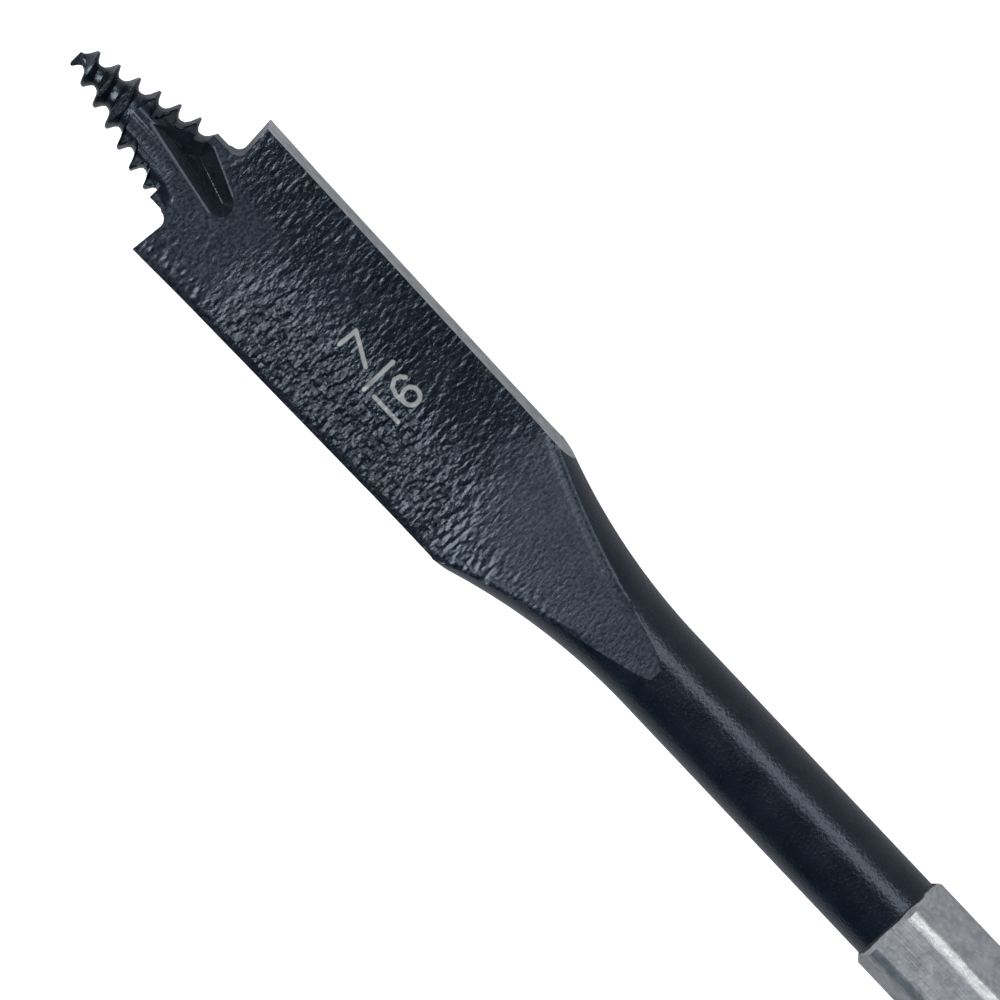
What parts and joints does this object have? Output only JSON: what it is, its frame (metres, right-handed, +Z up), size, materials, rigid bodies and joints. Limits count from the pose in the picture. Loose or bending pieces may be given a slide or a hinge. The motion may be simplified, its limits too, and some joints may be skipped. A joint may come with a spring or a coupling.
{
  "type": "spade drill bit",
  "caption": "Short spade wood bit forged from one steel bar: flat blade with square cutting shoulders, tapered screw point, round neck and hexagonal shank.",
  "frame": {"origin": "middle of the hexagonal shank's end face, on the bit's axis", "axes": "+X along the bit's axis from the shank to the screw point, +Z up and square to the shank flat on which the bit lies"},
  "size_m": [0.1016, 0.011, 0.0064],
  "materials": {
    "black_oxide_steel": "black oxide over forged steel, with ground sides and a bare steel shank"
  },
  "bodies": {
    "root": {"spade_bit": "black_oxide_steel"}
  },
  "joints": []
}
